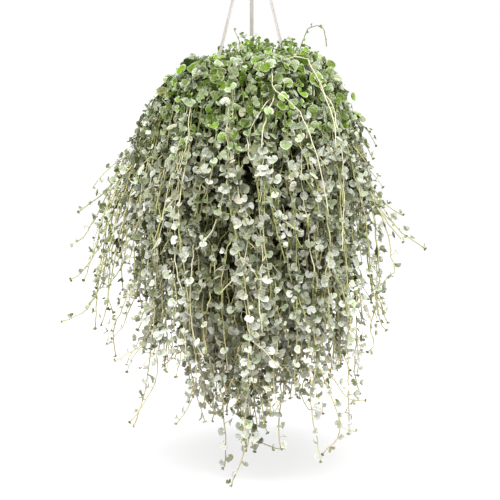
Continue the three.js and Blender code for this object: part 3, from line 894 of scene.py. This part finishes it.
def clearOfPot(route):
    # pushes the points that would touch the pot straight out from its axis
    radius = np.hypot(route[:, 0], route[:, 1])
    height = route[:, 2]
    taper = (pot["rim"] - height) / (pot["rim"] - pot["floor"])
    wall = pot["mouth"] + (pot["foot"] - pot["mouth"]) * taper + pot["clear"]
    wall = np.where(height > pot["rim"] - pot["collar"], pot["flange"] + pot["clear"], wall)
    beside = (height < pot["rim"] + pot["clear"]) & (height > pot["floor"] - pot["clear"])
    short = beside & (radius > pot["inside"]) & (radius < wall)
    push = np.where(short, wall / np.maximum(radius, 1), 1.0)
    cleared = route.copy()
    cleared[:, 0] *= push
    cleared[:, 1] *= push
    # in front and behind, nothing strays far from the bunches
    strayed = np.maximum(np.abs(cleared[:, 1]) - pot["stray"], 0)
    cleared[:, 1] -= np.sign(cleared[:, 1]) * strayed * pot["pullBack"]
    return cleared


# Habits: how leaves sit on the crown, on the arches over the rim, and on the hanging stems

habits = {
    "crown": {
        "spacing": (6, 11), "size": (11, 26), "stalk": (7, 24), "stalkUp": 1.5, "sideways": 0.0,
        "faceOut": 0.6, "faceUp": 0.35, "faceMess": 0.55, "tipSize": 0.38, "twins": 0.3,
    },
    "arch": {
        "spacing": (9, 15), "size": (13, 23), "stalk": (3, 10), "stalkUp": 1.1, "sideways": 0.3,
        "faceOut": 0.7, "faceUp": 0.4, "faceMess": 0.55, "tipSize": 0.38, "twins": 0.25,
    },
    "hang": {
        "spacing": (11, 19), "size": (10.5, 17.5), "stalk": (4, 11), "stalkUp": 0.25, "sideways": 0.5,
        "faceOut": 0.9, "faceUp": 0.4, "faceMess": 0.55, "tipSize": 0.7, "twins": 0.2,
    },
}
habits["young"] = dict(habits["crown"], spacing=(10, 16), size=(6, 9), stalk=(2, 5))
leafPose = {
    # how a stalk and its blade turn away from the stem; what is called mess is left to chance
    "upperSide": 0.7, "turn": 1.1, "sideTurn": (1.35, 0.4), "stalkMess": 0.2, "shortestStalk": 0.4,
    "alongStalk": 0.6, "droop": 0.45, "alongMess": 0.35, "inBlade": 0.03, "turnedOver": 0.10,
}
leafTones = {
    # leaves are green above the one height and silver below the other; a few young ones stay green;
    # leaves high up get painted light
    "greenAbove": -300, "silverBelow": -410, "heightMess": 15, "green": (0.42, 1.2),
    "silver": (0.0, 0.25), "young": 0.02, "youngGreen": 0.6, "light": 0.61, "paintedLightOnTop": 0.12,
    "lightSpread": 0.25, "withered": 0.04, "witheredWarm": (0.3, 0.9), "warm": (0, 0.15),
}
formChances = {
    "open": 0.14, "saddle": 0.18, "domed": 0.12, "shell": 0.20, "folded": 0.16, "ruffled": 0.20,
}
largeLeaf = 22
farOut = {
    # on the stems that swing out to the left and the right, leaves are smaller, sparser and greener, and
    # get painted light
    "from": 160, "over": 50, "smaller": 0.2, "sparser": 0.75, "green": 0.3, "paintedLight": 0.08,
}


def pickForm(size, dice):
    return dice.choice(list(formChances), p=list(formChances.values())), size > largeLeaf


def habitAt(first, second, amount):
    # a habit between two others; pairs of numbers blend end by end
    blended = {}
    for key, value in first.items():
        if isinstance(value, tuple):
            blended[key] = tuple(a + (b - a) * amount for a, b in zip(value, second[key]))
        else:
            blended[key] = value + (second[key] - value) * amount
    return blended


def farOutShare(spot):
    return passed(math.hypot(spot[0], spot[1]), farOut["from"], farOut["over"])


def pickTone(spot, dice):
    silverBelow = leafTones["silverBelow"]
    height = spot[2] + dice.normal(0, leafTones["heightMess"])
    fresh = passed(height, silverBelow, leafTones["greenAbove"] - silverBelow)
    # painted light on the leaves high up
    light = leafTones["light"] + leafTones["paintedLightOnTop"] * fresh
    outside = farOutShare(spot)
    fresh = max(fresh, farOut["green"] * outside)
    # painted light on the leaves far out at the sides
    light += farOut["paintedLight"] * outside
    if dice.random() < leafTones["young"]:
        fresh = max(fresh, leafTones["youngGreen"])
    low, high = (a + (b - a) * fresh for a, b in zip(leafTones["silver"], leafTones["green"]))
    light = np.clip(dice.normal(light, leafTones["lightSpread"]), 0, 1)
    withered = dice.random() < leafTones["withered"]
    warm = dice.uniform(*leafTones["witheredWarm" if withered else "warm"])
    return (dice.uniform(low, high), light, warm)


def setForm(kind, form, origin, along, face, scale, tone, bunch):
    copy = {"form": form, "origin": origin, "along": along, "face": face, "scale": scale, "tone": tone}
    bunch[kind].append(copy)


def growLeaf(spot, direction, outward, habit, shrink, dice, bunch):
    pose = leafPose
    side = unit(np.cross(direction, outward))
    facing = squareTo(direction, outward + up * pose["upperSide"])
    turn = dice.normal(0, pose["turn"]) * (1 - habit["sideways"])
    turn += dice.choice([-1, 1]) * dice.normal(*pose["sideTurn"]) * habit["sideways"]
    stalkWay = facing * math.cos(turn) + side * math.sin(turn)
    stalkWay = unit(stalkWay + up * habit["stalkUp"] + dice.normal(0, pose["stalkMess"], 3))
    stalkLength = dice.uniform(*habit["stalk"]) * max(shrink, pose["shortestStalk"])
    size = dice.uniform(*habit["size"]) * shrink
    face = unit(outward * habit["faceOut"] + up * habit["faceUp"] + dice.normal(0, habit["faceMess"], 3))
    if dice.random() < pose["turnedOver"]:
        face = -face
    along = stalkWay * pose["alongStalk"] - up * pose["droop"] * (1 - habit["stalkUp"])
    along = squareTo(face, along + dice.normal(0, pose["alongMess"], 3))
    end = spot + stalkWay * stalkLength
    # the small number keeps a stalk that stands upright from having no upper side
    stalkTop = squareTo(stalkWay, unit(up - stalkWay * (up.dot(stalkWay) - 0.01)))
    radius = stemLook["stalkRadius"] * (0.7 + 0.3 * shrink)
    setForm("stalks", "stalk", spot, stalkWay, stalkTop, (stalkLength, radius, radius), (0, 0, 0), bunch)
    form = pickForm(size, dice)
    origin = end - along * pose["inBlade"] * size
    setForm("leaves", form, origin, along, face, (size, size, size), pickTone(spot, dice), bunch)


budLook = {
    "leaves": (2, 4), "size": (3.2, 5.5), "sink": 0.8, "green": (0.2, 0.6), "light": (0.3, 0.6),
    "warm": 0.1,
}


def growBud(spot, direction, dice, bunch):
    # two or three tiny folded leaves close the tip of a stem
    for number in range(dice.integers(*budLook["leaves"])):
        face = unit(np.cross(direction, dice.normal(0, 1, 3)))
        size = dice.uniform(*budLook["size"])
        tone = (dice.uniform(*budLook["green"]), dice.uniform(*budLook["light"]), budLook["warm"])
        origin = spot - direction * budLook["sink"]
        setForm("leaves", ("folded", False), origin, direction, face, (size, size, size), tone, bunch)


growth = {
    # lengths in mm from a stem's tip: where leaves end, where they get small, where shoots end
    "lastLeaf": 4, "taper": 70, "lastShoot": 60, "outwardMess": 40, "twinSize": 0.62,
    "closerWhenSmall": 0.4,
}


def dressStem(route, habitOf, firstLeaf, radii, dice, bunch, kind="stems", shoots=0.0, shootsFrom=0.0):
    # the stem itself, a leaf at every joint, now and then a side shoot, and a bud at its end
    distances = distancesAlong(route)
    sections = max(int(distances[-1] / stemLook["section"]), 3)
    route = placesAt(route, distances, np.linspace(0, distances[-1], sections))
    route[2:] += dice.normal(0, stemLook["kink"], (sections - 2, 3))
    bunch[kind].append((route, np.linspace(*radii, sections)))
    distances = distancesAlong(route)
    length = distances[-1]
    here = firstLeaf
    while here < length - growth["lastLeaf"]:
        spot, ahead = placesAt(route, distances, np.array([here, min(here + 2, length)]))
        direction = unit(ahead - spot)
        outward = np.array([spot[0], spot[1], 0]) + dice.normal(0, growth["outwardMess"], 3) * (1, 1, 0)
        outward = unit(outward)
        habit = habitOf(here)
        tipSize = habit["tipSize"]
        outside = farOutShare(spot)
        shrink = min(1, tipSize + (1 - tipSize) * (length - here) / growth["taper"])
        shrink = shrink * (1 - farOut["smaller"] * outside)
        growLeaf(spot, direction, outward, habit, shrink, dice, bunch)
        if dice.random() < habit["twins"]:
            growLeaf(spot, direction, outward, habit, shrink * growth["twinSize"], dice, bunch)
        if here > shootsFrom and length - here > growth["lastShoot"] and dice.random() < shoots:
            growShoot(spot, direction, outward, habitOf, here, dice, bunch)
        closer = 1 - growth["closerWhenSmall"] + growth["closerWhenSmall"] * shrink
        here += dice.uniform(*habit["spacing"]) * closer * (1 + farOut["sparser"] * outside)
    growBud(route[-1], unit(route[-1] - route[-2]), dice, bunch)


shootLook = {
    "reach": (30, 72), "away": (0.45, 0.9, 0.4), "sideReach": 0.5, "downReach": 0.75, "steps": 8,
    "firstLeaf": 9, "radii": (0.8, 0.6),
}


def growShoot(spot, direction, outward, habitOf, here, dice, bunch):
    # a side shoot leaves its stem and then bends to hang beside it
    reach = dice.uniform(*shootLook["reach"])
    side = unit(np.cross(direction, outward)) * dice.choice([-1, 1])
    outShare, sideShare, downShare = shootLook["away"]
    away = unit(outward * outShare + side * sideShare + direction * downShare)
    steps = np.linspace(0, 1, shootLook["steps"])[:, None]
    route = spot + away * reach * shootLook["sideReach"] * (1 - (1 - steps) ** 2)
    route = clearOfPot(route + direction * reach * shootLook["downReach"] * steps**1.5)
    habitThere = lambda part: habitOf(here + part)
    dressStem(route, habitThere, shootLook["firstLeaf"], shootLook["radii"], dice, bunch)


strandLook = {
    # lengths are in mm; the waves are the lengths over which a stem sways
    "step": 9.0, "aside": 38, "drift": 28, "deepest": -32, "wander": 10.5, "waves": (45, 120),
    "spreadFrom": 20, "looseOver": 1.6, "archLift": 12, "curl": 60, "curlSpread": (0.7, 1.4),
    "curlAside": 14, "curlFan": 6, "curlOut": 8, "curlLift": 10,
    # the bunches whose tips are further out than the first of these fan out and have more stems
    "farTip": (170, 90), "fan": 70, "fanBend": 1.3, "moreFarOut": 6, "leastPoints": 12,
    "shoots": 0.16, "shootsBelow": 75, "hangOver": 60, "deepShade": 0.34,
}
leadLook = {
    # the stems that stand out leave their tress at its apex if they start above this height, and
    # otherwise at its shoulder; the pale ones are nearly bare
    "fromApex": -330, "leaveAt": 0.97, "shoots": 0.04, "bareSpacing": (26, 60), "bareTip": 0.9,
}
ringShade = {
    # the level of a ring that gets no painted shade, and how much painted light the low leaves get
    "plain": 0.5, "shownFrom": 500, "shownOver": 150, "lighterShown": 0.16,
}
leadingStems = {
    # the leafy stems that stand out, by the number of their tress: the depth at the start and at the
    # end, then the across and the height of each place that they pass after leaving the tress
    3: [
        ((-5, 15), (-189, -449, -207, -512, -219, -543, -226, -583, -243, -611, -256, -627, -288, -642)),
        ((-20, -20), (-191, -438, -215, -491, -226, -522, -240, -542, -250, -558, -270, -572)),
        ((15, 30), (-197, -423, -218, -451, -229, -471, -243, -497, -256, -515, -275, -525)),
        ((25, 40), (-190, -397, -213, -435, -241, -461, -263, -476)),
        ((-10, -15), (-207, -454, -219, -514, -227, -559, -232, -604, -234, -648)),
        ((-30, -30), (-196, -460, -206, -519, -212, -572, -216, -611, -224, -639)),
        ((-35, -40), (-187, -474, -200, -526, -209, -571, -212, -600, -206, -620)),
    ],
    4: [
        ((-60, -60), (-162, -450, -156, -497, -160, -535, -164, -560, -170, -588, -181, -613, -193, -642,
            -206, -655)),
        ((-75, -80), (-152, -463, -150, -507, -160, -543, -167, -565, -179, -585, -194, -594)),
        ((-55, -60), (-158, -435, -164, -474, -173, -503, -185, -513, -192, -528, -198, -544)),
    ],
    15: [
        ((-90, -90), (-137, -534, -138, -593, -147, -629, -157, -653, -166, -662, -184, -674,
            -200, -682)),
        ((-86, -90), (-132, -505, -121, -578, -124, -615, -133, -655, -139, -675, -136, -687, -140, -712,
            -149, -732, -161, -751, -179, -775)),
        ((-95, -105), (-134, -490, -136, -548, -143, -591, -156, -608, -172, -619)),
    ],
    10: [
        ((65, 68), (154, -385, 176, -434, 193, -471, 212, -492, 228, -508, 245, -522, 268, -536)),
        ((50, 45), (154, -399, 178, -452, 197, -478, 207, -492, 218, -507, 230, -524)),
        ((75, 80), (160, -401, 183, -439, 205, -467, 221, -478, 235, -487)),
    ],
    9: [
        ((-15, -25), (174, -439, 192, -476, 205, -510, 207, -537, 212, -558, 198, -573, 195, -580,
            179, -589)),
        ((-40, -45), (169, -437, 181, -488, 187, -543, 185, -600, 176, -645, 182, -666, 171, -677)),
        ((0, 0), (169, -440, 184, -485, 189, -549, 188, -606, 195, -640, 204, -654)),
    ],
    8: [
        ((-110, -110), (113, -488, 102, -575, 97, -648, 110, -689, 122, -711, 141, -735, 152, -738,
            165, -736)),
        ((-95, -90), (135, -490, 132, -577, 131, -636, 129, -658, 127, -675, 111, -697)),
        ((-118, -120), (101, -502, 90, -588, 93, -661, 107, -709, 117, -736, 126, -761, 133, -774,
            152, -781)),
    ],
    18: [
        ((-110, -100), (79, -531, 76, -604, 84, -656, 93, -681, 110, -718, 125, -761, 128, -784,
            117, -806, 102, -819)),
    ],
    24: [
        ((-45, -40), (-18, -629, -13, -708, -12, -775, -4, -811, -12, -833, -16, -849, -26, -869,
            -30, -884)),
        ((-20, -25), (-7, -649, -6, -740, 0, -804, 9, -818, 20, -822, 33, -828, 48, -830)),
        ((-15, -10), (-2, -650, 3, -741, 8, -803, 11, -824, 5, -838)),
    ],
    25: [
        ((-60, -60), (57, -627, 63, -687, 69, -726, 78, -750, 86, -762, 96, -762)),
        ((-75, -80), (48, -610, 53, -669, 53, -709, 45, -734, 41, -750, 32, -761, 25, -763)),
    ],
    23: [
        ((-40, -45), (-76, -615, -77, -690, -70, -746, -57, -764, -43, -776)),
        ((-25, -25), (-69, -618, -64, -693, -60, -747, -57, -767, -59, -787)),
        ((-30, -30), (-82, -617, -81, -692, -76, -730, -79, -744, -88, -747)),
    ],
}
paleStems = {
    # the same for the pale stems in front, which are nearly bare
    7: [
        ((-150, -175), (33, -288, 54, -304, 71, -326, 83, -356, 93, -384, 101, -423, 106, -461)),
        ((-150, -168), (-7, -357, 4, -396, 14, -421, 25, -442, 39, -464, 54, -476, 71, -485)),
        ((-120, -150), (76, -243, 87, -260, 97, -281, 106, -306, 115, -336, 119, -371)),
        ((-160, -170), (15, -343, 15, -398, 11, -461, 15, -524, 11, -581, 15, -630)),
    ],
    6: [
        ((-150, -168), (-36, -345, -31, -371, -25, -396, -17, -438, -6, -491, -10, -525, -25, -551,
            -46, -572)),
        ((-150, -165), (-32, -399, -44, -448, -53, -477, -63, -495, -77, -510)),
        ((-155, -160), (-21, -511, -11, -582, 0, -639, 20, -655, 34, -674, 44, -681)),
    ],
    8: [
        ((-130, -150), (114, -313, 121, -344, 127, -379, 129, -428, 129, -469, 127, -512)),
        ((-140, -155), (69, -400, 77, -463, 82, -511, 86, -529, 90, -546, 94, -567)),
    ],
    5: [
        ((-125, -150), (-92, -359, -103, -408, -110, -460, -110, -492, -109, -525, -105, -551,
            -99, -573)),
        ((-120, -140), (-106, -373, -118, -422, -125, -462, -128, -483, -132, -501, -143, -516)),
    ],
    16: [
        ((-135, -140), (-87, -557, -86, -614, -80, -647, -73, -660, -66, -677)),
    ],
}


def leadPlaces(depths, passing):
    across, heights = np.reshape(passing, (-1, 2)).T
    return np.stack([across, np.round(np.linspace(*depths, len(across))), heights], axis=1)


def cutAtHem(route, dice):
    low = np.interp(route[:, 0], hem["across"], hem["low"])
    below = route[:, 2] < low + dice.normal(0, hem["spread"])
    return route[: max(int(np.argmax(below)), strandLook["leastPoints"])] if below.any() else route


def strandRoute(strand, count, ring, spine, distances, shoulder, farTip, dice):
    # the first stem of a bunch keeps to the bunch's route, and the others lie beside it and behind it
    look = strandLook
    length = distances[-1] * (dice.uniform(*ring["reach"]) if strand else 1.0)
    part = np.arange(0, length, look["step"])
    route = placesAt(spine, distances, part)
    radial = route * (1, 1, 0)
    radial = radial / np.maximum(np.linalg.norm(radial, axis=1), 1)[:, None]
    across = np.stack([-radial[:, 1], radial[:, 0], np.zeros(len(part))], axis=1)
    spread = eased((part - look["spreadFrom"]) / (shoulder - look["spreadFrom"]))
    loose = eased(part / (shoulder * look["looseOver"]))
    lane = (strand + 0.5) / count * 2 - 1 if strand else 0.0
    depth = dice.random() if strand else 0.0
    aside = lane * look["aside"] + dice.normal(0, look["drift"]) * part / length
    waves = dice.uniform(*look["waves"], 2)
    phases = dice.uniform(0, 2 * math.pi, 4)
    swayAside, swayOut = (
        np.sin(part / slow + first) + 0.5 * np.sin(part / fast * 2 + second)
        for slow, fast, first, second in ((*waves, *phases[:2]), (*waves[::-1], *phases[2:]))
    )
    curl = look["curl"] * dice.uniform(*look["curlSpread"])
    tail = np.clip(1 - (length - part) / curl, 0, 1) ** 2
    tailAside = tail * (dice.normal(0, look["curlAside"]) + lane * look["curlFan"])
    aside = aside * spread + look["wander"] * spread * swayAside + tailAside
    inOut = depth * look["deepest"] * loose + look["wander"] * loose * swayOut
    inOut = inOut + tail * dice.uniform(-look["curlOut"], look["curlOut"])
    inOut = inOut - look["fan"] * farTip * dice.random() * (part / length) ** look["fanBend"]
    lift = tail * dice.uniform(0, look["curlLift"])
    lift = lift + spread * (1 - spread) * dice.normal(0, look["archLift"])
    route = route + across * aside[:, None] + radial * inOut[:, None] + up * lift[:, None]
    return route, depth


def dressTress(number, ring, spine, distances, apex, shoulder, dice, bunch):
    def habitOf(here):
        share = passed(here, apex, shoulder - apex + strandLook["hangOver"])
        habit = habitAt(habits["arch"], habits["hang"], share)
        habit["spacing"] = tuple(spacing * ring["bareness"] for spacing in habit["spacing"])
        return habit

    def bareHabit(here):
        return dict(habitOf(here), spacing=leadLook["bareSpacing"], tipSize=leadLook["bareTip"])

    farTip = passed(math.hypot(spine[-1][0], spine[-1][1]), *strandLook["farTip"])
    count = ring["strands"] + round(strandLook["moreFarOut"] * farTip)
    shootsFrom = shoulder + strandLook["shootsBelow"]
    for strand in range(count):
        route, depth = strandRoute(strand, count, ring, spine, distances, shoulder, farTip, dice)
        if strand:
            route = cutAtHem(route, dice)
        before = len(bunch["leaves"])
        firstLeaf = dice.uniform(*ring["firstLeaf"])
        dressStem(clearOfPot(route), habitOf, firstLeaf, stemLook["radii"],
                  dice, bunch, "stems", strandLook["shoots"], shootsFrom)
        shadeLeaves(bunch["leaves"][before:], ring["level"], depth * strandLook["deepShade"])
    for stems, habit, radii, kind, shoots in (
        (leadingStems, habitOf, stemLook["radii"], "stems", leadLook["shoots"]),
        (paleStems, bareHabit, stemLook["paleRadii"], "paleStems", 0.0),
    ):
        for depths, passing in stems.get(number, ()):
            places = leadPlaces(depths, passing)
            start = apex if places[0][2] > leadLook["fromApex"] else shoulder
            lead = placesAt(spine, distances, np.linspace(0, start * leadLook["leaveAt"], 5))
            route = smoothRoute(np.vstack([lead, places]), 6)
            dressStem(route, habit, start, radii, dice, bunch, kind, shoots)


def shadeLeaves(leaves, level, shade):
    # leaves deep in the plant get painted shade; low down, where every ring shows, they get painted light
    # instead
    for leaf in leaves:
        green, light, warm = leaf["tone"]
        shown = passed(-leaf["origin"][2], ringShade["shownFrom"], ringShade["shownOver"])
        paintedDarkening = (ringShade["plain"] - level) * (1 - shown) + shade - ringShade["lighterShown"] * shown
        leaf["tone"] = (green, np.clip(light - paintedDarkening, 0, 1), warm)


def makeTress(number, ringName, tress):
    spine = tressRoute(rings[ringName], tress)
    distances = distancesAlong(spine)
    apex = distances[3 * routeSteps]
    shoulder = distances[4 * routeSteps]
    dice = np.random.default_rng(4100 + number)
    bunch = newBunch()
    dressTress(number, rings[ringName], spine, distances, apex, shoulder, dice, bunch)
    node = "tress_%02d" % number
    name = "stems_and_leaves_%02d" % number
    stemKind = strawStem if ringName == "outer" else innerShadedStem
    growPiece(name, bunch, trailingLeaf, stemKind, node)
    return len(bunch["leaves"])


crownLook = {
    "stems": 64, "roots": 5, "rootCircle": 16, "rootHeight": -372, "straight": 30, "turn": 137.5,
    "reach": 90, "shift": 10, "lean": 8, "top": -213, "edgeTop": -243, "edgeBend": 2.5,
    "uneven": 14, "middle": (0.62, 5, -305), "firstLeaf": (52, 64), "radii": (1.2, 0.8),
    "wispLeaf": 30, "wispRadii": (0.9, 0.6),
}
# thin young stems that stand out of the crown, by the places they pass
wisps = [
    [(-8, -20, -262), (-14, -26, -232), (-20, -30, -212), (-26, -31, -204)],
    [(-2, -22, -262), (-5, -28, -232), (-9, -33, -215), (-15, -37, -208)],
    [(58, -24, -268), (72, -34, -226), (84, -40, -201), (103, -44, -200), (108, -46, -227)],
]


def makeCrown():
    look = crownLook
    dice = np.random.default_rng(77)
    bunch = newBunch()
    crownHabit = lambda here: habits["crown"]
    youngHabit = lambda here: habits["young"]
    for stem in range(look["stems"]):
        rootTurn = 360 / look["roots"] * (stem % look["roots"])
        root = around(look["rootCircle"], rootTurn, look["rootHeight"])
        radius = look["reach"] * math.sqrt((stem + 0.5) / look["stems"])
        azimuth = look["turn"] * stem
        share = radius / look["reach"]
        height = look["top"] + (look["edgeTop"] - look["top"]) * share ** look["edgeBend"]
        height += look["lean"] * math.cos(math.radians(azimuth)) * share - dice.uniform(0, look["uneven"])
        end = around(radius, azimuth, height) + (look["shift"], 0, 0)
        middleShare, middleMore, middleHeight = look["middle"]
        middle = around(radius * middleShare + middleMore, azimuth, middleHeight)
        route = smoothRoute([root, root + (0, 0, look["straight"]), middle, end], 8)
        dressStem(route, crownHabit, dice.uniform(*look["firstLeaf"]), look["radii"], dice, bunch)
    for places in wisps:
        dressStem(smoothRoute(places, 8), youngHabit, look["wispLeaf"], look["wispRadii"], dice, bunch)
    return growPiece("crown_stems_and_leaves", bunch, crownLeaf, strawStem, "crown")


crownPiece = makeCrown()
print("crown grown:", len(crownPiece.data.polygons), "faces")
listed = [(ringName, tress) for ringName, ofRing in tresses.items() for tress in ofRing]
leafCount = sum(makeTress(number, *each) for number, each in enumerate(listed, 1))
print("tresses grown:", leafCount, "leaves")


# The frame's own solids that stay

for name, material in (("hanger", hangerPlastic), ("pot", potPlastic), ("soil", moistPeat)):
    paint(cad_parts[name], material)

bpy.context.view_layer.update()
triangles = sum(len(face.vertices) - 2 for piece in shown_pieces() if piece.type == "MESH"
                for face in piece.data.polygons)
print("sizes written; triangles in all:", triangles)
